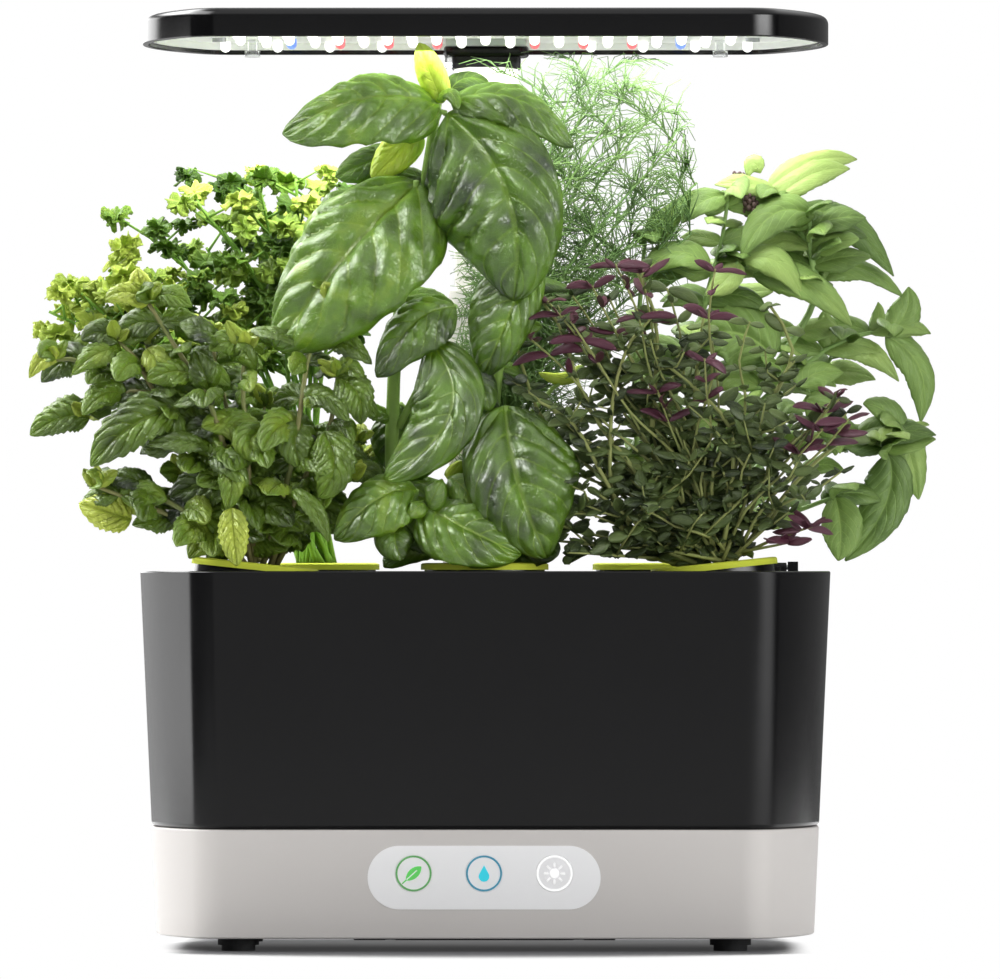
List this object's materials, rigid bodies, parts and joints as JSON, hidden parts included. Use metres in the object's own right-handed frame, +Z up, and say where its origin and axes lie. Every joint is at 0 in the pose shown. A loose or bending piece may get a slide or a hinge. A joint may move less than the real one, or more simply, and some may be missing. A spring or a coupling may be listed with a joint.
{
  "type": "countertop hydroponic garden",
  "caption": "Countertop hydroponic garden: grey base with touch buttons, black water bowl with a planting deck of herbs, and a grow-light hood on a telescoping mast.",
  "frame": {"origin": "middle of the overall footprint, on the surface that the feet stand on", "axes": "+Z up, the control panel faces -Y, +X to the right as seen from the front"},
  "size_m": [0.3526, 0.1549, 0.3594],
  "materials": {
    "grey_plastic": "fine matte texture",
    "black_plastic": "fine spark-eroded grain",
    "black_satin": "smooth satin",
    "rubber": "soft moulded rubber",
    "steel": "zinc-plated",
    "brass": "plated contact pin",
    "panel_grey": "smooth matte membrane",
    "green_ink": "printed ink",
    "blue_ink": "printed ink",
    "white_ink": "printed ink",
    "circuit_board": "solder mask",
    "black_rubberised": "moulded switch body",
    "cable_sheath": "flexible cable sheath",
    "orange_float": "hollow moulded float",
    "white_plastic": "smooth moulded",
    "pump_plastic": "moulded pump body",
    "filter_foam": "open-cell foam",
    "clear_tube": "flexible clear hose",
    "basket_plastic": "moulded slotted basket",
    "peat_sponge": "bonded peat foam",
    "label_card": "printed label card, blank",
    "mint_leaf": "wrinkled leaf",
    "basil_leaf": "smooth waxy leaf",
    "thyme_leaf": "small dark leaf",
    "parsley_leaf": "curled leaf",
    "dill_leaf": "feathery leaf",
    "thai_basil_leaf": "pointed leaf with purple stem",
    "reflector_white": "white gloss",
    "led_board_white": "white-coated aluminium board",
    "led_white": "clear lens over phosphor",
    "led_red": "clear lens over a red chip",
    "led_blue": "clear lens over a blue chip",
    "clear_plastic": "clear moulded peg",
    "cover_grey": "translucent grey"
  },
  "bodies": {
    "base": {"base_housing": "grey_plastic", "bottom_cover": "black_plastic", "cover_screws": "steel", "feet": "rubber", "control_panel": "panel_grey", "control_board": "circuit_board", "tact_switches": "black_rubberised", "dc_jack": "black_plastic", "jack_pin": "brass", "power_lead": "cable_sheath", "dock_plug": "black_plastic", "mast_sleeve": "grey_plastic", "mast_screws": "steel", "bowl": "black_plastic", "bowl_socket": "black_plastic", "grow_deck": "black_plastic", "lid_pin": "steel", "float_guide": "white_plastic", "pump_housing": "pump_plastic", "impeller_shaft": "white_plastic", "pump_cover": "pump_plastic", "pump_filter": "filter_foam", "outlet_tube": "clear_tube", "basket_1": "basket_plastic", "basket_2": "basket_plastic", "basket_3": "basket_plastic", "basket_4": "basket_plastic", "basket_5": "basket_plastic", "basket_6": "basket_plastic", "grow_sponges": "peat_sponge", "pod_labels": "label_card", "mint": "mint_leaf", "basil": "basil_leaf", "thyme": "thyme_leaf", "parsley": "parsley_leaf", "dill": "dill_leaf", "thai_basil": "thai_basil_leaf"},
    "mast_middle": {"mast_middle": "grey_plastic"},
    "hood": {"mast_upper": "grey_plastic", "hood_neck": "black_satin", "hood_shell": "black_satin", "reflector": "reflector_white", "led_board": "led_board_white", "white_leds": "led_white", "red_leds": "led_red", "blue_leds": "led_blue", "clear_pegs": "clear_plastic", "hood_screws": "steel", "hood_lead": "cable_sheath", "lead_cover": "cover_grey"},
    "fill_lid": {"fill_lid": "black_plastic"},
    "float": {"float": "orange_float"},
    "impeller": {"pump_impeller": "white_plastic"},
    "food_button": {"food_button": "panel_grey", "food_icon": "green_ink"},
    "water_button": {"water_button": "panel_grey", "water_icon": "blue_ink"},
    "light_button": {"light_button": "panel_grey", "light_icon": "white_ink"}
  },
  "joints": [
    {"name": "mast_lower_slide", "type": "slide", "parent": "base", "child": "mast_middle", "axis": [0, 0, 1], "range_m": [0, 0.045]},
    {"name": "mast_upper_slide", "type": "slide", "parent": "mast_middle", "child": "hood", "axis": [0, 0, 1], "range_m": [0, 0.045]},
    {"name": "fill_lid_hinge", "type": "hinge", "parent": "base", "child": "fill_lid", "pos_m": [0.111, 0.0234, 0.1465], "axis": [-1, 0, 0], "range_deg": [0, 95]},
    {"name": "float_slide", "type": "slide", "parent": "base", "child": "float", "axis": [0, 0, 1], "range_m": [0, 0.03]},
    {"name": "impeller_spin", "type": "hinge", "parent": "base", "child": "impeller", "pos_m": [0.046, 0.04, 0.0665], "axis": [0, 0, 1], "continuous": true},
    {"name": "food_button_press", "type": "slide", "parent": "base", "child": "food_button", "axis": [0, 0.999, 0.0454], "range_m": [0, 0.0005], "stiffness_N_per_m": 800},
    {"name": "water_button_press", "type": "slide", "parent": "base", "child": "water_button", "axis": [0, 0.999, 0.0454], "range_m": [0, 0.0005], "stiffness_N_per_m": 800},
    {"name": "light_button_press", "type": "slide", "parent": "base", "child": "light_button", "axis": [0, 0.999, 0.0454], "range_m": [0, 0.0005], "stiffness_N_per_m": 800}
  ]
}
